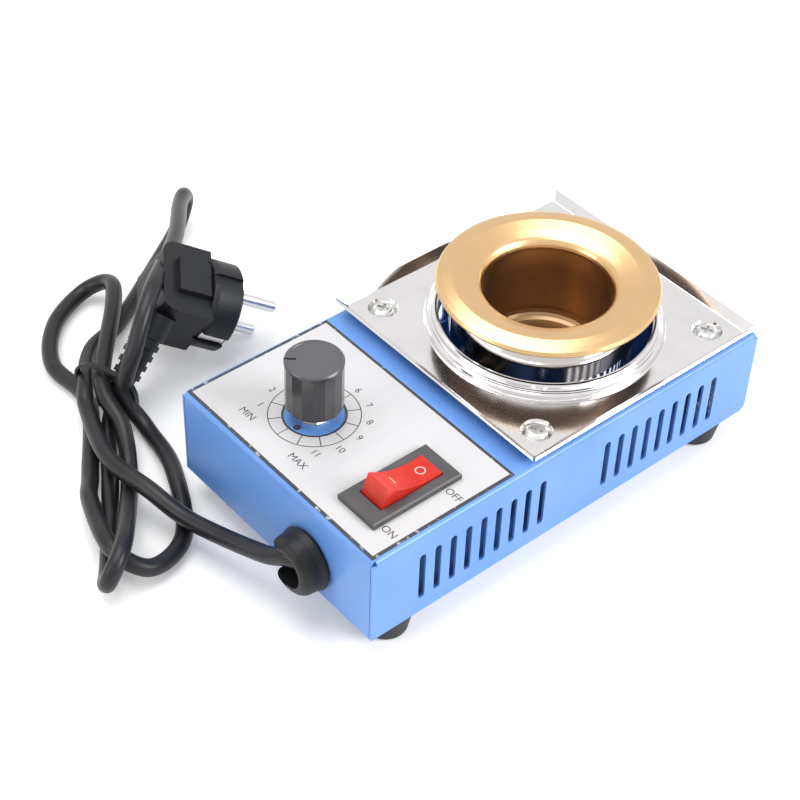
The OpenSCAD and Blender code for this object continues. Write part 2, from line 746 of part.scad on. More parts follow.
// ---- Wires ---------------------------------------------------------------------------------
wire_d = 2.4;
joint_gap = 0.03;              // a soldered wire stops this short of what it meets
gland_z = base_z + gland_rise;
gland_in = -house_l / 2 + sheet + 8;     // inner end of the gland's neck

// Direction of a route at its point i
function heading(p, i) = unit(p[min(i + 1, len(p) - 1)] - p[max(i - 1, 0)]);
// Rounded course of a route: each span is cut in n steps of a curve through its points
function course(p, n) = concat(
    [for (i = [0 : len(p) - 2], k = [0 : n - 1])
        let (a = p[max(i - 1, 0)], b = p[i], c = p[i + 1], d = p[min(i + 2, len(p) - 1)], t = k / n)
        b + ((c - a) * t + (2 * a - 5 * b + 4 * c - d) * t * t + (3 * b - a - 3 * c + d) * t * t * t) / 2],
    [p[len(p) - 1]]);
// Sideways frame carried along a route so that the tube doesn't twist
function carry(v, h) = unit(v - (v * h) * h);
function frames(p, i, v) = i == len(p) ? [] :
    let (w = carry(v, heading(p, i))) concat([w], frames(p, i + 1, w));

// Tube of a given diameter swept along a route
module swept_tube(p, d, sides) {
    n = len(p);
    start = abs(heading(p, 0).z) < 0.9 ? [0, 0, 1] : [1, 0, 0];
    up = frames(p, 0, start);
    rings = [for (i = [0 : n - 1], k = [0 : sides - 1])
        let (a = 360 * k / sides) p[i] + d / 2 * (cos(a) * up[i] + sin(a) * cross(heading(p, i), up[i]))];
    walls = [for (i = [0 : n - 2], k = [0 : sides - 1], half = [0, 1])
        let (a = i * sides + k, b = i * sides + (k + 1) % sides)
        half == 0 ? [a, a + sides, b + sides] : [a, b + sides, b]];
    ends = concat([for (k = [1 : sides - 2]) [0, k, k + 1]],
        [for (k = [1 : sides - 2]) [(n - 1) * sides, (n - 1) * sides + k + 1, (n - 1) * sides + k]]);
    polyhedron(rings, concat(walls, ends), convexity = 10);
}

blade_z = box_z - blade_drop;

// Live and neutral from the gland to the switch
module supply_wires() {
    for (s = [-1, 1]) color(s < 0 ? "sienna" : "dodgerblue") swept_tube(course([
        [gland_in, gland_y + s * 1.6, gland_z - 1], [gland_in + 6, gland_y + s * 1.8, gland_z - 4],
        [hole_x - 8, switch_y + s * 3.4 + 2, blade_z - 6], [hole_x - 7.5, switch_y + s * 3.4, blade_z - 3],
        [hole_x - 7.5, switch_y + s * 3.4, blade_z - joint_gap]], 4), wire_d, 6);
}

// From the switch to the board
module switch_wires() {
    for (s = [-1, 1]) color(s < 0 ? "sienna" : "dodgerblue") swept_tube(course([
        [hole_x + 7.5, switch_y + s * 3.4, blade_z - joint_gap],
        [hole_x + 7.5, switch_y + s * 3.4, blade_z - 3],
        [hole_x + 9 - s, switch_y + s * 3.4, blade_z - 6],
        [block_x - 5 - s * 2.5, block_y - 16, board_top + 3],
        [block_x - 5 - s * 2.5, block_y - 4, board_top + 4]], 4), wire_d, 6);
}

// From the dial's potentiometer to the board
module dial_wires() {
    tip_x = control_x + pot_body_d / 2 + 6;
    for (j = [-1, 0, 1]) color("orange") swept_tube(course([
        [tip_x, dial_y + j * 5, pot_z + 1], [tip_x + 2, dial_y + j * 4.5, pot_z - 6],
        [tip_x + 3, dial_y + j * 4, board_top + 3],
        [tip_x + 3, dial_y + j * 4, board_top + joint_gap]], 4), 1.4, 6);
}

// Heater leads from the board, through the can's wall, up to the band heater
module heater_leads() {
    can_x = well_x - can_d / 2;
    for (s = [-1, 1]) color("whitesmoke") swept_tube(course([
        [block_x + 5 + s * 2.5, block_y - 4, board_top + 4],
        [block_x + 8 + s * 3, block_y - 12, board_top + 6],
        [can_x - 9, s * lead_spread - 2, lead_hole_z], [can_x - 1, s * lead_spread, lead_hole_z],
        [can_x + 3.6, s * lead_spread, lead_hole_z], [can_x + 5, s * lead_spread, lead_hole_z + 4],
        [can_x + 5, s * lead_spread, lead_hole_z + 9]], 4), wire_d, 6);
}

module earth_wire() {
    color("yellowgreen") swept_tube(course([
        [gland_in, gland_y, gland_z + 2], [gland_in + 4, gland_y + 2, gland_z + 1],
        [earth_x, earth_y - 9, floor_z + nut_h + 3],
        [earth_x, earth_y - 5, floor_z + nut_h + earth_wire_d / 2],
        [earth_x, earth_y - 2.9, floor_z + nut_h + earth_wire_d / 2]], 4), earth_wire_d, 6);
}

// ---- Cord, gland and plug ------------------------------------------------------------------
// Route of the cord from the gland: over the bundle, out in a long loop, back round the low
// loops, out in a short loop, and back through the tie to the plug
cord_route = [[-100, -23, 26], [-103, -15, 25], [-106, -3, 19], [-113, 31, 12], [-117, 53, 14],
    [-119, 78, 13], [-110, 106, 11], [-103, 119, 12], [-86, 141, 7], [-65, 152, 4], [-27, 177, 4],
    [-10, 189, 4], [-3, 194, 6], [1, 196, 12], [-2, 193, 18], [-11, 183, 22], [-34, 153, 33],
    [-68, 119, 45], [-86, 106, 33], [-94, 104, 14], [-93, 91, 4], [-99, 64, 6], [-115, 34, 4],
    [-135, 26, 6], [-144, 38, 12], [-135, 67, 8], [-125, 83, 4], [-103, 118, 4], [-102, 146, 4],
    [-88, 167, 4], [-68, 177, 5], [-59, 169, 12], [-67, 152, 16], [-98, 114, 15], [-104, 91, 11],
    [-114, 72, 4], [-135, 42, 15], [-145, 30, 18], [-152, 26, 14], [-153, 29, 7], [-145, 40, 4],
    [-121, 75, 4], [-107, 97, 4], [-94, 111, 8]];
tail_end = cord_route[len(cord_route) - 1];
tail_root = [-71, 116, 29];

module mains_cord() { color("dimgray") swept_tube(course(cord_route, 2), cord_d, 8); }

gland_reach = 10.5;
gland_recess_d = 15;

// Moulded strain relief: a thick rounded head with a recess that opens to the cord's side
module cord_gland() {
    r = gland_d / 2;
    neck_r = gland_hole_d / 2 - 0.1;
    color("black") translate([-house_l / 2, gland_y, gland_z]) rotate([0, -90, 0]) difference() {
        union() {
            rotate_extrude() polygon(concat([[0, 0], [r - 1, 0], [r, 1.4], [r - 0.8, 4]],
                arc([r - 5.2, gland_reach - 4.2], 4.2, 15, 90, 5), [[0, gland_reach]]));
            translate([0, 0, -sheet - 7]) cylinder(r = neck_r, h = sheet + 7 + overlap);
            translate([0, 0, -sheet - 3]) cylinder(r = neck_r + 1.2, h = 3);
        }
        translate([0, 0, 2.5]) cylinder(d = gland_recess_d, h = gland_reach);
        translate([-1 - gland_recess_d / 2, 0, 2.5]) cube([gland_recess_d, gland_d, gland_reach]);
    }
}

// Cable tie around the bundle: an upright oval band across the strands
tie_centre = [-96.5, 113.5, 11];
tie_turn = -69;
tie_half_w = 15;
tie_half_h = 10.7;
tie_t = 1;
tie_band = 2.4;
tie_steps = 40;
function oval(half_w, half_h, square_ness) = [for (i = [0 : tie_steps - 1])
    let (a = 360 * i / tie_steps, c = cos(a), s = sin(a))
    [half_w * sign(c) * pow(abs(c), square_ness), half_h * sign(s) * pow(abs(s), square_ness)]];

module cord_tie() {
    n = tie_steps;
    color("black") translate(tie_centre) rotate(tie_turn) rotate([90, 0, 0])
        translate([0, 0, -tie_band / 2]) linear_extrude(tie_band) polygon(
            concat(oval(tie_half_w, tie_half_h, 0.75), oval(tie_half_w - tie_t, tie_half_h - tie_t, 0.75)),
            [[for (i = [0 : n - 1]) i], [for (i = [0 : n - 1]) n + i]]);
}

// Frame of the plug: its face is at the origin, its pins point along +X and lie one above the
// other along Y, and its lead leaves at the back
plug_at = [-35, 117, 19.2];
plug_turn = [-72, 28, -26];
pin_d = 4.8;
pin_l = 19;
pin_gap = 19;
face_t = 13;                   // depth of the plug's round face part
back_l = 21;
back_w = 25;
back_h = 34;
clip_w = 4;

module plug_place() { translate(plug_at) rotate(plug_turn) children(); }

module plug_back() {
    translate([-face_t - back_l, -back_w / 2, 0]) rotate([-90, 0, 0]) linear_extrude(back_w) polygon(concat(
        arc([6, 6 - back_h / 2], 6, 180, 270, 4), [[back_l + 1, -back_h / 2], [back_l + 1, back_h / 2]],
        arc([6, back_h / 2 - 6], 6, 90, 180, 4)));
}

module lead_tail() {
    span = tail_end - tail_root;
    length = norm(span);
    ribs = 6;
    yaw = atan2(span.y, span.x);
    tilt = acos(span.z / length);
    translate(tail_root) rotate([0, tilt, yaw]) rotate_extrude() polygon(concat([[0, -6], [7.4, -6]],
        [for (i = [0 : ribs - 1], k = [0 : 3])
            let (z = 2 + (i + [0, 0.5, 0.5, 1][k]) * (length - 4) / ribs,
                r = 7 - 1.8 * i / ribs - [0, 0, 1.2, 1.2][k])
            [r, z]], [[5, length - 2], [4.8, length], [0, length]]));
}

module plug_body() {
    r = plug_d / 2;
    color("black") difference() {
        union() {
            plug_place() {
                translate([-face_t, 0, 0]) rotate([0, 90, 0]) rotate_extrude() polygon([[0, 0], [r - 1.2, 0],
                    [r - 0.4, 1], [r, 2], [r, face_t - 0.8], [r - 0.8, face_t], [0, face_t]]);
                plug_back();
                // Grip lugs on the two broad sides
                for (s = [-1, 1]) translate([-face_t - 15, s > 0 ? back_w / 2 - 1 : -back_w / 2 - 3.2, -8])
                    cube([14, 4.2, 16]);
            }
            lead_tail();
        }
        plug_place() {
            for (s = [-1, 1]) {
                translate([-face_t - 1, -3, s > 0 ? r - 2.4 : -r - 1]) cube([face_t + 2, 6, 3.4]);
                translate([-4, s * pin_gap / 2, 0]) rotate([0, 90, 0]) cylinder(d = pin_d, h = 6, $fn = 32);
            }
            for (s = [-1, 1]) translate([-face_t - 1, s > 0 ? r - 1.6 : -r - 1, -2.5])
                cube([face_t + 2, 2.6, 5]);
        }
    }
}

module plug_pins() {
    r = plug_d / 2;
    color("silver") plug_place() {
        for (s = [-1, 1]) translate([-4, s * pin_gap / 2, 0]) rotate([0, 90, 0]) {
            cylinder(d = pin_d, h = pin_l + 3);
            translate([0, 0, pin_l + 3 - overlap]) cylinder(d1 = pin_d, d2 = pin_d - 2, h = 1);
        }
        for (s = [-1, 1]) translate([1 - face_t, -clip_w / 2, s > 0 ? r - 2.4 : 1.8 - r])
            cube([face_t - 2, clip_w, 0.6]);
    }
}

housing_shell();
base_plate();
corner_brackets();
foot_1();
foot_2();
foot_3();
foot_4();
foot_screws();
foot_nuts();
label_plate();
knob();
dial_shaft();
potentiometer();
dial_washer();
dial_nut();
switch_frame();
rocker();
switch_terminals();
splash_tray();
tray_screws();
tray_nuts();
crucible();
band_heater();
heater_clamp_screw();
insulation_sleeve();
insulation_pad();
heater_can();
can_standoffs();
can_screws();
control_board();
board_standoffs();
board_screws();
heatsink();
triac();
film_capacitor();
terminal_block();
earth_stud();
supply_wires();
switch_wires();
dial_wires();
heater_leads();
earth_wire();
cord_gland();
mains_cord();
cord_tie();
plug_body();
plug_pins();
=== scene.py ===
import math

import bpy
import numpy as np
from mathutils import Matrix, Vector


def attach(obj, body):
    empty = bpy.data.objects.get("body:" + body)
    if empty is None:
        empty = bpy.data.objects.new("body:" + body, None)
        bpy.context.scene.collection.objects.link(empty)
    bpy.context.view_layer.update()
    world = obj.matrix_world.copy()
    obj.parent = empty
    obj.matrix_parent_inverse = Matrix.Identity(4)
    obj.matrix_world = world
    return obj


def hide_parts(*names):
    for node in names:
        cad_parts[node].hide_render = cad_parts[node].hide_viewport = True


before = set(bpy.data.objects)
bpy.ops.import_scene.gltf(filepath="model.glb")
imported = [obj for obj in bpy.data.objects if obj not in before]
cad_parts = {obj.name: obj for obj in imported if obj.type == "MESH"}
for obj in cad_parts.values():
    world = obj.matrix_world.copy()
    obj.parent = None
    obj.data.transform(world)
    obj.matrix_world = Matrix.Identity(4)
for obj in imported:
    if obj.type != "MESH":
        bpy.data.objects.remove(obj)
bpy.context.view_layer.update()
mm = 0.001
print("frame loaded:", len(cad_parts), "nodes")


# A socket that takes part in Python expressions: each operator adds one Math node
class Wire:
    def __init__(self, finish, socket):
        self.finish = finish
        self.socket = socket

    def maths(self, operation, *others):
        values = dict(enumerate((self,) + others))
        return self.finish.node("ShaderNodeMath", {"operation": operation}, values).out(0)

    def flipped(self, operation, other):
        return self.finish.node("ShaderNodeMath", {"operation": operation}, {0: other, 1: self}).out(0)

    def __add__(self, other):
        return self.maths("ADD", other)

    def __radd__(self, other):
        return self.flipped("ADD", other)

    def __sub__(self, other):
        return self.maths("SUBTRACT", other)

    def __rsub__(self, other):
        return self.flipped("SUBTRACT", other)

    def __mul__(self, other):
        return self.maths("MULTIPLY", other)

    def __rmul__(self, other):
        return self.flipped("MULTIPLY", other)

    def __truediv__(self, other):
        return self.maths("DIVIDE", other)

    def __rtruediv__(self, other):
        return self.flipped("DIVIDE", other)

    def __pow__(self, other):
        return self.maths("POWER", other)

    def __abs__(self):
        return self.maths("ABSOLUTE")

    def __gt__(self, other):
        return self.maths("GREATER_THAN", other)

    def __lt__(self, other):
        return self.maths("LESS_THAN", other)

    def most(self, other):
        return self.maths("MAXIMUM", other)

    def least(self, other):
        return self.maths("MINIMUM", other)

    def sine(self):
        return self.maths("SINE")

    # 0 below low, 1 above high, straight between
    def ramp(self, low, high):
        return self.finish.node("ShaderNodeMapRange", {"clamp": True},
                                {"Value": self, "From Min": low, "From Max": high}).out("Result")


class Made:
    def __init__(self, finish, item):
        self.finish = finish
        self.item = item

    def out(self, key):
        return Wire(self.finish, self.item.outputs[key])


# A material under construction: its tree, its Principled shader and its object coordinates
class Finish:
    def __init__(self, name, tree=None):
        if tree is None:
            self.material = bpy.data.materials.new(name)
            self.material.use_nodes = True
            tree = self.material.node_tree
            self.shader = next(n for n in tree.nodes if n.type == "BSDF_PRINCIPLED")
        self.tree = tree
        self.place = None

    # Adds any node: its settings are set first, then values or links go to its sockets
    def node(self, kind, settings=None, sockets=None):
        item = self.tree.nodes.new(kind)
        for key, value in (settings or {}).items():
            setattr(item, key, value)
        for key, value in (sockets or {}).items():
            self.join(item.inputs[key], value)
        return Made(self, item)

    def join(self, socket, value):
        if isinstance(value, Wire):
            self.tree.links.new(value.socket, socket)
        else:
            socket.default_value = value

    def set(self, **values):
        for key, value in values.items():
            self.join(self.shader.inputs[socketNames[key]], value)

    def coords(self):
        if self.place is None:
            self.place = self.node("ShaderNodeTexCoord").out("Object")
        return self.place

    def axes(self):
        parts = self.node("ShaderNodeSeparateXYZ", {}, {0: self.coords()})
        return parts.out(0), parts.out(1), parts.out(2)

    # Fractal noise of a given grain size in metres, from 0 to 1
    def noise(self, grain, detail=3.0, roughness=0.5, vector=None):
        return self.node("ShaderNodeTexNoise", {"noise_dimensions": "3D"},
                         {"Vector": vector or self.coords(), "Scale": 1 / grain, "Detail": detail,
                          "Roughness": roughness}).out(0)

    def stretched(self, scale):
        return self.node("ShaderNodeMapping", {}, {"Vector": self.coords(), "Scale": scale}).out(0)

    def blend(self, factor, first, second):
        return self.node("ShaderNodeMix", {"data_type": "RGBA"},
                         {"Factor": factor, 6: asColour(first), 7: asColour(second)}).out(2)

    def bump(self, height, distance, strength=1.0, normal=None):
        sockets = {"Height": height, "Distance": distance, "Strength": strength}
        if normal is not None:
            sockets["Normal"] = normal
        return self.node("ShaderNodeBump", {}, sockets).out(0)


socketNames = {"colour": "Base Color", "rough": "Roughness", "metal": "Metallic", "coat": "Coat Weight",
               "coatRough": "Coat Roughness", "normal": "Normal", "through": "Transmission Weight",
               "glow": "Emission Color", "glowStrength": "Emission Strength", "ior": "IOR",
               "specular": "Specular IOR Level"}


def asColour(value):
    return value if isinstance(value, Wire) else (*value, 1.0)


# A colour with each part times a share, never over 1
def scaled(colour, share):
    return tuple(min(1, part * share) for part in colour)


cameraSet = {"place": (-0.37933, -0.38454, 0.53013), "turn": (47.1616, -1.6197, -40.0484), "lens": 85.05}


def makeCamera():
    data = bpy.data.cameras.new("camera")
    data.lens = cameraSet["lens"]
    data.sensor_width = 36
    data.clip_start = 0.01
    camera = bpy.data.objects.new("camera", data)
    bpy.context.scene.collection.objects.link(camera)
    camera.location = cameraSet["place"]
    camera.rotation_euler = [math.radians(a) for a in cameraSet["turn"]]
    bpy.context.scene.camera = camera


makeCamera()
print("camera placed")


# Mesh object from an array of points and an array of faces, smooth, with optional uv per point
def meshObject(name, points, faces, smooth=True, uv=None):
    mesh = bpy.data.meshes.new(name)
    mesh.from_pydata(np.asarray(points, float).reshape(-1, 3), [], faces)
    if uv is not None:
        layer = mesh.uv_layers.new(name="UVMap")
        corners = np.zeros(len(mesh.loops), int)
        mesh.loops.foreach_get("vertex_index", corners)
        layer.data.foreach_set("uv", np.asarray(uv, float).reshape(-1, 2)[corners].ravel())
    mesh.polygons.foreach_set("use_smooth", np.full(len(mesh.polygons), smooth))
    mesh.update()
    item = bpy.data.objects.new(name, mesh)
    bpy.context.scene.collection.objects.link(item)
    return item


# Quads between neighbours of a grid of rows x columns points, wrapped along the columns if closed
def gridFaces(rows, columns, closed=False):
    i = np.arange(rows - 1)[:, None] * columns
    j = np.arange(columns if closed else columns - 1)[None, :]
    k = (j + 1) % columns
    quads = np.stack([i + j, i + columns + j, i + columns + k, i + k], -1)
    return quads.reshape(-1, 4)


# Catmull-Rom course: b + ((c-a)t + (2a-5b+4c-d)t^2 + (3b-a-3c+d)t^3)/2 on each span b..c
def smoothCourse(points, steps):
    p = np.asarray(points, float)
    a = np.vstack([p[:1], p[:-2]])[:, None]
    b = p[:-1, None]
    c = p[1:, None]
    d = np.vstack([p[2:], p[-1:]])[:, None]
    t = (np.arange(steps) / steps)[None, :, None]
    spans = b + ((c - a) * t + (2 * a - 5 * b + 4 * c - d) * t ** 2 + (3 * b - a - 3 * c + d) * t ** 3) / 2
    return np.vstack([spans.reshape(-1, 3), p[-1:]])


def unitRows(v):
    return v / np.maximum(np.linalg.norm(v, axis=-1, keepdims=True), 1e-12)


# Tube about a course: point(i, a) = course_i + r (cos a * side_i + sin a * over_i), with the side
# carried from ring to ring without twist, and a flat cap at each end
def sweptTube(name, course, radius, sides):
    course = np.asarray(course, float)
    ahead = unitRows(np.gradient(course, axis=0))
    side = np.zeros_like(course)
    first = np.cross(ahead[0], (0.0, 0.0, 1.0))
    side[0] = first / np.linalg.norm(first)
    for i in range(1, len(course)):
        carried = side[i - 1] - ahead[i] * side[i - 1].dot(ahead[i])
        side[i] = carried / np.linalg.norm(carried)
    over = np.cross(ahead, side)
    a = 2 * np.pi * np.arange(sides) / sides
    circle = np.cos(a)[None, :, None] * side[:, None] + np.sin(a)[None, :, None] * over[:, None]
    points = course[:, None] + radius * circle
    along = np.r_[0, np.cumsum(np.linalg.norm(np.diff(course, axis=0), axis=1))]
    uv = np.stack(np.broadcast_arrays(along[:, None], (a / (2 * np.pi))[None]), -1)
    count = len(course) * sides
    points = np.vstack([points.reshape(-1, 3), course[:1], course[-1:]])
    uv = np.vstack([uv.reshape(-1, 2), [[0, 0]], [[along[-1], 0]]])
    walls = gridFaces(len(course), sides, closed=True)[:, ::-1]
    k = np.arange(sides)
    near = np.stack([np.full(sides, count), k, (k + 1) % sides], -1)
    far = np.stack([np.full(sides, count + 1), count - sides + (k + 1) % sides, count - sides + k], -1)
    return meshObject(name, points, walls.tolist() + near.tolist() + far.tolist(), uv=uv)


cordSet = {
    "route": [(-100, -23, 26), (-103, -15, 25), (-106, -3, 19), (-113, 31, 12), (-117, 53, 14),
              (-119, 78, 13), (-110, 106, 11), (-103, 119, 12), (-86, 141, 7), (-65, 152, 4), (-27, 177, 4),
              (-10, 189, 4), (-3, 194, 6), (1, 196, 12), (-2, 193, 18), (-11, 183, 22), (-34, 153, 33),
              (-68, 119, 45), (-86, 106, 33), (-94, 104, 14), (-93, 91, 4), (-99, 64, 6), (-115, 34, 4),
              (-135, 26, 6), (-144, 38, 12), (-135, 67, 8), (-125, 83, 4), (-103, 118, 4), (-102, 146, 4),
              (-88, 167, 4), (-68, 177, 5), (-59, 169, 12), (-67, 152, 16), (-98, 114, 15), (-104, 91, 11),
              (-114, 72, 4), (-135, 42, 15), (-145, 30, 18), (-152, 26, 14), (-153, 29, 7), (-145, 40, 4),
              (-121, 75, 4), (-107, 97, 4), (-94, 111, 8)],
    "diameter": 7.0, "length": 1.04, "steps": 20, "sides": 20}


def makeCord():
    course = smoothCourse(cordSet["route"], cordSet["steps"]) * mm
    cord = sweptTube("cordSheath", course, cordSet["diameter"] * mm / 2, cordSet["sides"])
    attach(cord, "base")
    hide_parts("mains_cord")
    return cord


cordSheath = makeCord()
print("cord laid")


paint = {"colour": (0.150, 0.345, 0.800), "deep": (0.120, 0.300, 0.740), "rough": 0.36, "peel": 0.00035,
         "coat": 0.25, "cloud": 0.03}


# Stoved paint: a broad cloud in the colour and the roughness, and orange peel in the height
def housingPaint():
    f = Finish("bluePaint")
    cloud = f.noise(paint["cloud"], 4)
    peel = f.noise(paint["peel"], 2)
    f.set(colour=f.blend(cloud.ramp(0.35, 0.7), paint["colour"], paint["deep"]),
          rough=cloud * 0.08 + paint["rough"],
          coat=paint["coat"], coatRough=0.25, normal=f.bump(peel, 0.00002, 0.35))
    return f.material


plateSet = {"ground": (0.635, 0.625, 0.640), "edge": (0.020, 0.022, 0.028), "border": 1.25, "rough": 0.33,
            "borderGlint": (0.42, 0.42, 0.42),
            "centre": (-63.3, 0.0), "half": (33.0, 54.1)}


# Border mask: 1 where min(halfX - |x - cx|, halfY - |y - cy|) is under the border's width
def platePrint():
    f = Finish("facePlate")
    x, y, z = f.axes()
    cx, cy = plateSet["centre"]
    hx, hy = plateSet["half"]
    inset = (hx * mm - abs(x - cx * mm)).least(hy * mm - abs(y - cy * mm))
    border = inset < plateSet["border"] * mm
    brushed = f.noise(0.004, 3, vector=f.stretched((0.06, 1.0, 1.0)))
    speckle = f.noise(0.0035, 3)
    # painted highlight: pale grey flecks on the dark printed border stand in for glints off it
    borderGlint = border * speckle.ramp(0.60, 0.66)
    ground = f.blend(brushed.ramp(0.3, 0.75), plateSet["ground"], scaled(plateSet["ground"], 0.96))
    edge = f.blend(borderGlint, plateSet["edge"], plateSet["borderGlint"])
    f.set(colour=f.blend(border, ground, edge), rough=plateSet["rough"] + border * 0.08 - borderGlint * 0.1,
          metal=0.0, coat=0.5, coatRough=0.16, normal=f.bump(brushed, 0.00001, 0.2))
    return f.material


# Polished or brushed metal: base colour with a faint cloud, and fine scratches in the roughness
def metalFinish(name, colour, rough, grain=0.0012, bumpHeight=0.000003, stretch=(1, 1, 1), dull=0.92,
                spread=0.06):
    f = Finish(name)
    cloud = f.noise(0.012, 4)
    fine = f.noise(grain, 3, vector=f.stretched(stretch))
    f.set(colour=f.blend(cloud.ramp(0.4, 0.75), colour, scaled(colour, dull)), metal=1.0,
          rough=fine * spread + rough, normal=f.bump(fine, bumpHeight, 0.5))
    return f.material


goldSet = {"rim": (0.76, 0.51, 0.26), "bore": (0.36, 0.23, 0.13), "under": (0.11, 0.07, 0.045),
           "rough": 0.27, "boreRough": 0.34, "axis": 0.035, "pitch": 0.00042, "boreTop": 0.0725,
           "boreFade": 0.012, "underFrom": 0.029, "underTop": 0.0733}


# Rings of the lathe: sin(r * 2 pi / pitch) about the crucible's axis, painted shade in the bore, which turns a
# darker brown over boreFade below boreTop, and painted shade on the underside where r > underFrom and z <
# underTop
def crucibleFinish():
    f = Finish("goldCoat")
    x, y, z = f.axes()
    dx = x - goldSet["axis"]
    radius = (dx * dx + y * y) ** 0.5
    rings = (radius * (2 * math.pi / goldSet["pitch"])).sine()
    # painted shade: the bore's colour darkens with depth below boreTop
    boreShade = (goldSet["boreTop"] - z).ramp(0.0, goldSet["boreFade"])
    cloud = f.noise(0.018, 4)
    rim = f.blend(cloud.ramp(0.35, 0.7), goldSet["rim"], scaled(goldSet["rim"], 0.95))
    colour = f.blend(boreShade, rim, goldSet["bore"])
    # painted shade: a dark colour on the rim's underside, where r > underFrom and z < underTop
    under = (radius > goldSet["underFrom"]) * (goldSet["underTop"] - z).ramp(0.0, 0.0002)
    rougher = goldSet["boreRough"] - goldSet["rough"]
    f.set(colour=f.blend(under, colour, goldSet["under"]), metal=1.0, rough=goldSet["rough"] + boreShade * rougher,
          normal=f.bump(rings, 0.0000025, 0.35))
    return f.material


# Black rubber or plastic: a small colour cloud, a fine grain and a soft gloss
def mouldedFinish(name, colour, rough, grain=0.0009, height=0.00002, coat=0.0, lift=1.25, specular=0.5):
    f = Finish(name)
    cloud = f.noise(0.012, 4)
    fine = f.noise(grain, 3)
    f.set(colour=f.blend(cloud.ramp(0.35, 0.7), colour, scaled(colour, lift)),
          rough=cloud * 0.08 + rough, coat=coat, coatRough=0.2, specular=specular,
          normal=f.bump(fine, height, 0.5))
    return f.material


cordFinishSet = {"colour": (0.013, 0.013, 0.015), "worn": (0.024, 0.024, 0.027), "rough": 0.30,
                 "grain": 0.0011, "wave": 0.02}


# Sheath: colour and roughness follow a slow wave, and the height adds a fine leathery grain to it
def cordFinish():
    f = Finish("cordSheathBlack")
    wave = f.noise(cordFinishSet["wave"], 2)
    fine = f.noise(cordFinishSet["grain"], 3, 0.6)
    f.set(colour=f.blend(wave.ramp(0.35, 0.7), cordFinishSet["colour"], cordFinishSet["worn"]),
          rough=cordFinishSet["rough"] + wave * 0.10, specular=0.30, coat=0.04, coatRough=0.3,
          normal=f.bump(fine, 0.000035, 0.5, f.bump(wave, 0.0004, 0.3)))
    return f.material


knobSet = {"colour": (0.030, 0.030, 0.034), "topSheenColour": (0.075, 0.075, 0.083), "rough": 0.24,
           "topFrom": 0.0790, "pitch": 0.0005, "axis": (-0.067, 0.015)}


# Turned top: rings sin(r * 2 pi / pitch) about the shaft's axis, only on the top face, which also gets a
# lighter colour as painted sheen
def knobFinish():
    f = Finish("knobBlack")
    x, y, z = f.axes()
    dx = x - knobSet["axis"][0]
    dy = y - knobSet["axis"][1]
    radius = (dx * dx + dy * dy) ** 0.5
    rings = (radius * (2 * math.pi / knobSet["pitch"])).sine()
    top = (z - knobSet["topFrom"]).ramp(0.0, 0.0002)
    fine = f.noise(0.0008, 3)
    # painted sheen: the top face takes a lighter colour than the sides
    f.set(colour=f.blend(top, knobSet["colour"], knobSet["topSheenColour"]), rough=knobSet["rough"] + top * 0.12,
          coat=0.3, coatRough=0.1, normal=f.bump(rings * top + fine * 0.4, 0.000004, 0.6))
    return f.material


redSet = {"colour": (0.60, 0.014, 0.008), "light": (0.80, 0.045, 0.015), "through": 0.15,
          "glowLow": (0.10, 0.0, 0.0), "glowHigh": (0.55, 0.03, 0.01),
          "poolFrom": 0.0565, "poolHeight": 0.005}


# Clear red moulding: brighter where the lamp's light pools under the raised end
def rockerFinish():
    f = Finish("clearRed")
    x, y, z = f.axes()
    cloud = f.noise(0.004, 3, 0.6)
    pool = (z - redSet["poolFrom"]).ramp(0.0, redSet["poolHeight"])
    f.set(colour=f.blend((cloud.ramp(0.35, 0.65) * 0.5 + pool * 0.5), redSet["colour"], redSet["light"]),
          rough=0.20 + cloud * 0.10, through=redSet["through"], ior=1.49, specular=0.35,
          coat=0.08, coatRough=0.1,
          glow=f.blend(pool, redSet["glowLow"], redSet["glowHigh"]), glowStrength=0.25,
          normal=f.bump(f.noise(0.0012, 2), 0.00002, 0.4))
    return f.material


# Printed ink with slightly uneven cover
def inkFinish(name, colour):
    f = Finish(name)
    cover = f.noise(0.0006, 3)
    thin = tuple(min(1, part * 1.5 + 0.02) for part in colour)
    f.set(colour=f.blend(cover.ramp(0.45, 0.8), colour, thin), rough=0.45 + cover * 0.1)
    return f.material


boardSet = {"ground": (0.015, 0.16, 0.05), "track": (0.05, 0.30, 0.10), "cells": 260.0, "trackWidth": 0.09}


# Green board with paler tracks, which are the lines between the cells of a Voronoi pattern
def boardFinish():
    f = Finish("boardGreen")
    cells = f.node("ShaderNodeTexVoronoi", {"feature": "DISTANCE_TO_EDGE"},
                   {"Vector": f.coords(), "Scale": boardSet["cells"]}).out(0)
    tracks = cells < boardSet["trackWidth"]
    f.set(colour=f.blend(tracks, boardSet["ground"], boardSet["track"]), rough=0.35 + f.noise(0.003) * 0.1,
          coat=0.4, normal=f.bump(cells, 0.00001, 0.4))
    return f.material


fibreSet = {"colour": (0.80, 0.77, 0.70), "dark": (0.62, 0.59, 0.53)}


# Felted ceramic fibre: two sizes of noise in colour and height
def fibreFinish():
    f = Finish("ceramicFibre")
    felt = f.noise(0.0018, 5, 0.7, vector=f.stretched((1, 1, 0.35)))
    f.set(colour=f.blend(felt.ramp(0.3, 0.7), fibreSet["colour"], fibreSet["dark"]), rough=0.93 - felt * 0.05,
          normal=f.bump(felt, 0.0003, 0.8))
    return f.material


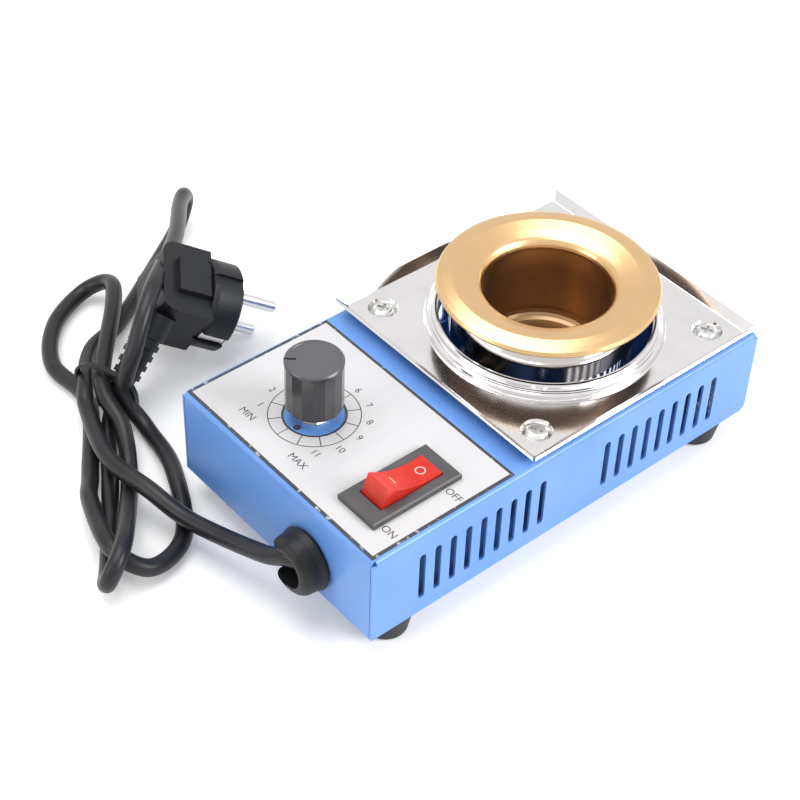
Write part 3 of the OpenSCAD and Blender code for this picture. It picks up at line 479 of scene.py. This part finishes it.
finishes = {
    "painted_blue": housingPaint(),
    "face_plate": platePrint(),
    "steel_dull": metalFinish("zincSteel", (0.72, 0.72, 0.71), 0.20, 0.0008, 0.00001, spread=0.14),
    "tray_steel": metalFinish("polishedTray", (0.80, 0.78, 0.78), 0.12, 0.006, 0.00002, spread=0.05),
    "can_steel": metalFinish("polishedCan", (0.80, 0.77, 0.74), 0.05, 0.006, 0.00001, spread=0.03),
    "crucible_gold": crucibleFinish(),
    "rubber_black": mouldedFinish("reliefBlack", (0.011, 0.011, 0.013), 0.36, specular=0.28),
    "foot_rubber": mouldedFinish("footRubber", (0.016, 0.016, 0.018), 0.52, 0.0012, 0.00004),
    "knob_plastic": knobFinish(),
    "switch_plastic": mouldedFinish("frameGrey", (0.060, 0.058, 0.062), 0.40, 0.0006, 0.000015),
    "plug_plastic": mouldedFinish("plugBlack", (0.013, 0.014, 0.016), 0.42, 0.0009, 0.00003, specular=0.28),
    "cord_pvc": cordFinish(),
    "brass": metalFinish("brass", (0.80, 0.60, 0.28), 0.25),
    "pin_nickel": metalFinish("nickel", (0.74, 0.73, 0.74), 0.30, 0.001, 0.000006),
    "board_green": boardFinish(),
    "part_plastic": mouldedFinish("partPlastic", (0.25, 0.035, 0.02), 0.35, coat=0.2),
    "block_green": mouldedFinish("blockGreen", (0.02, 0.24, 0.09), 0.40),
    "wire_insulation": mouldedFinish("wireCover", (0.30, 0.20, 0.12), 0.40),
    "ceramic_fibre": fibreFinish(),
    "heater_metal": metalFinish("heaterBand", (0.48, 0.45, 0.42), 0.34, 0.002, 0.00002, spread=0.12),
    "sink_alu": metalFinish("sinkAlu", (0.78, 0.79, 0.80), 0.30, 0.0015, 0.00001, (0.1, 1, 1)),
    "carbon_body": metalFinish("potCase", (0.62, 0.62, 0.60), 0.30, 0.0015)}
print("finishes made:", len(finishes))


# Every node takes the finish of its material slot in model.glb, but for two with a finish of their own
def dressNodes():
    special = {"rocker": rockerFinish(), "triac": mouldedFinish("triacBlack", (0.02, 0.02, 0.02), 0.4)}
    for name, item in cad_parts.items():
        slotName = item.data.materials[0].name.split(".")[0]
        item.data.materials.clear()
        item.data.materials.append(special.get(name) or finishes[slotName])


dressNodes()
cordSheath.data.materials.append(finishes["cord_pvc"])
print("nodes dressed")


printSet = {
    "centre": (-67.0, 15.0), "level": 52.43, "ring": 17.3, "line": 0.36, "collar": 11.9, "collarLine": 0.8,
    "tickFrom": 11.5, "ticks": 12, "numbers": 11, "numberRadius": 20.7, "numberFrom": 127.0,
    "numberStep": 25.4, "size": 2.9,
    "words": {"ON": (-83.6, -47.8), "OFF": (-54.3, -48.3), "MIN": (-86.2, 30.5), "MAX": (-87.0, -0.6)},
    "wordSize": 3.1}


# Flat ring: (r + w * v) (cos u, sin u) about a centre, u once round and v from -1/2 to 1/2
def flatRing(name, centre, radius, width, level, sides=128):
    a = 2 * np.pi * np.arange(sides) / sides
    r = np.array([radius - width / 2, radius + width / 2])
    points = np.stack([centre[0] + r[:, None] * np.cos(a), centre[1] + r[:, None] * np.sin(a),
                       np.full((2, sides), level)], -1)
    return meshObject(name, points * mm, gridFaces(2, sides, closed=True), smooth=False)


# Spokes: each a rectangle from one radius to another, width across, turned by its angle
def flatSpokes(name, centre, inner, outer, width, count, level):
    a = 2 * np.pi * np.arange(count) / count
    ahead = np.stack([np.cos(a), np.sin(a)], -1)[:, None]
    across = np.stack([-np.sin(a), np.cos(a)], -1)[:, None]
    r = np.array([inner, outer, outer, inner])[None, :, None]
    w = np.array([-1, -1, 1, 1])[None, :, None] * width / 2
    flat = np.array(centre) + ahead * r + across * w
    points = np.concatenate([flat, np.full((count, 4, 1), level)], -1)
    return meshObject(name, points * mm, np.arange(count * 4).reshape(count, 4), smooth=False)


# Words and numbers as one flat mesh, each upright towards +X and read along -Y
def flatWords(name, items, level):
    turn = Matrix(((0, 1, 0, 0), (-1, 0, 0, 0), (0, 0, 1, 0), (0, 0, 0, 1)))
    points, faces = [], []
    for text, (x, y), size in items:
        data = bpy.data.curves.new(name, "FONT")
        data.body = text
        data.size = size * mm * 1.38
        data.align_x = "CENTER"
        data.align_y = "CENTER"
        made = bpy.data.objects.new(name, data)
        bpy.context.scene.collection.objects.link(made)
        bpy.context.view_layer.update()
        mesh = bpy.data.meshes.new_from_object(made.evaluated_get(bpy.context.evaluated_depsgraph_get()))
        mesh.transform(Matrix.Translation((x * mm, y * mm, level * mm)) @ turn)
        shift = len(points)
        points.extend(v.co[:] for v in mesh.vertices)
        faces.extend([[i + shift for i in p.vertices] for p in mesh.polygons])
        bpy.data.objects.remove(made)
        bpy.data.meshes.remove(mesh)
        bpy.data.curves.remove(data)
    mesh = bpy.data.meshes.new(name)
    mesh.from_pydata(points, [], faces)
    item = bpy.data.objects.new(name, mesh)
    bpy.context.scene.collection.objects.link(item)
    return item


def makePrint():
    s = printSet
    ink = inkFinish("plateInk", (0.035, 0.035, 0.040))
    n = np.arange(s["numbers"])
    a = np.radians(s["numberFrom"] - s["numberStep"] * n)
    spots = np.array(s["centre"]) + s["numberRadius"] * np.stack([np.cos(a), np.sin(a)], -1)
    items = [(str(k + 1), tuple(spots[k]), s["size"]) for k in n]
    items += [(word, spot, s["wordSize"]) for word, spot in s["words"].items()]
    pieces = [flatRing("dialRing", s["centre"], s["ring"], s["line"], s["level"]),
              # painted shadow: a black ring round the knob's hole stands in for the shade at the hole's edge
              # under the knob
              flatRing("dialShadowRing", s["centre"], s["collar"], s["collarLine"], s["level"] + 0.01),
              flatSpokes("dialTicks", s["centre"], s["tickFrom"], s["ring"], s["line"], s["ticks"],
                         s["level"]),
              flatWords("plateWords", items, s["level"])]
    for piece in pieces:
        piece.data.materials.append(ink)
        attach(piece, "base")


makePrint()
print("face plate printed")


rockerSet = {"pivot": (-66.5, -34.0, 52.5), "tilt": 15.0, "curve": 34.0, "valley": 4.4, "lift": 0.10,
             "ringAt": 7.6, "ringRadius": 1.75, "barAt": -5.6, "barLength": 3.6, "line": 0.42}


# Point of the rocker's hollow top over local x: z = valley + R - sqrt(R^2 - x^2), then tilted about Y
def onRocker(x, y):
    s = rockerSet
    z = s["valley"] + s["curve"] - np.sqrt(s["curve"] ** 2 - x ** 2) + s["lift"]
    t = math.radians(s["tilt"])
    return np.stack([s["pivot"][0] + x * math.cos(t) + z * math.sin(t), s["pivot"][1] + y,
                     s["pivot"][2] - x * math.sin(t) + z * math.cos(t)], -1)


def makeRockerMarks():
    s = rockerSet
    a = 2 * np.pi * np.arange(48) / 48
    r = np.array([s["ringRadius"] - s["line"] / 2, s["ringRadius"] + s["line"] / 2])[:, None]
    ring = onRocker(s["ringAt"] + r * np.cos(a), r * np.sin(a))
    across, along = np.meshgrid(np.array([-0.5, 0.5]) * s["line"],
                                np.linspace(-0.5, 0.5, 9) * s["barLength"], indexing="ij")
    bar = onRocker(s["barAt"] + across, along)
    ink = inkFinish("rockerInk", (0.80, 0.62, 0.58))
    for name, grid, closed in (("rockerRing", ring, True), ("rockerBar", bar, False)):
        faces = gridFaces(grid.shape[0], grid.shape[1], closed=closed)
        piece = meshObject(name, grid * mm, faces, smooth=False)
        piece.data.materials.append(ink)
        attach(piece, "switch_rocker")


makeRockerMarks()


print("marks made")


lightSet = {
    "keyLamp": {"place": (0.55, -0.95, 0.75), "aim": (0, 0, 0.03), "size": (0.7, 0.5), "power": 13.0},
    "topLamp": {"place": (-0.10, 0.25, 1.15), "aim": (0, 0, 0.03), "size": (0.9, 0.9), "power": 9.0},
    "leftLamp": {"place": (-1.05, 0.35, 0.55), "aim": (0, 0, 0.03), "size": (0.5, 0.7), "power": 3.0}}
worldSet = {"ambient": 0.42, "seen": 1.0}
floorSet = {"colour": (0.93, 0.93, 0.93), "size": 4.0, "lift": 0.26}


def makeLamp(name, values):
    data = bpy.data.lights.new(name, "AREA")
    data.shape = "RECTANGLE"
    data.size, data.size_y = values["size"]
    data.energy = values["power"]
    lamp = bpy.data.objects.new(name, data)
    bpy.context.scene.collection.objects.link(lamp)
    lamp.location = values["place"]
    aim = Vector(values["aim"]) - Vector(values["place"])
    lamp.rotation_euler = aim.to_track_quat("-Z", "Y").to_euler()


def makeWorld():
    world = bpy.data.worlds.new("studio")
    world.use_nodes = True
    bpy.context.scene.world = world
    tree = world.node_tree
    f = Finish("studio", tree)
    path = f.node("ShaderNodeLightPath")
    seen = path.out("Is Camera Ray").most(path.out("Is Glossy Ray")).most(path.out("Is Transmission Ray"))
    ground = next(n for n in tree.nodes if n.type == "BACKGROUND")
    ground.inputs["Color"].default_value = (1, 1, 1, 1)
    f.join(ground.inputs["Strength"], seen * (worldSet["seen"] - worldSet["ambient"]) + worldSet["ambient"])


# The floor shades like paper, and a little of its own light lifts what the camera sees of it
def makeFloor():
    h = floorSet["size"] / 2
    corners = [(-h, -h, 0), (h, -h, 0), (h, h, 0), (-h, h, 0)]
    floor = meshObject("studioFloor", corners, [[0, 1, 2, 3]], smooth=False)
    f = Finish("studioFloor")
    path = f.node("ShaderNodeLightPath")
    seen = path.out("Is Camera Ray").most(path.out("Is Glossy Ray"))
    tone = f.noise(0.6, 2)
    f.set(colour=f.blend(tone, floorSet["colour"], scaled(floorSet["colour"], 0.985)), rough=0.8,
          specular=0.1)
    glow = f.node("ShaderNodeEmission", {}, {"Color": (1, 1, 1, 1), "Strength": floorSet["lift"]})
    both = f.node("ShaderNodeAddShader", {}, {0: Wire(f, f.shader.outputs[0]), 1: glow.out(0)})
    mixed = f.node("ShaderNodeMixShader", {}, {0: seen, 1: Wire(f, f.shader.outputs[0]), 2: both.out(0)})
    out = next(n for n in f.tree.nodes if n.type == "OUTPUT_MATERIAL")
    f.join(out.inputs["Surface"], mixed.out(0))
    floor.data.materials.append(f.material)


for lampName, lampValues in lightSet.items():
    makeLamp(lampName, lampValues)
makeWorld()
makeFloor()
bpy.context.scene.view_settings.view_transform = "Standard"
print("studio lit")
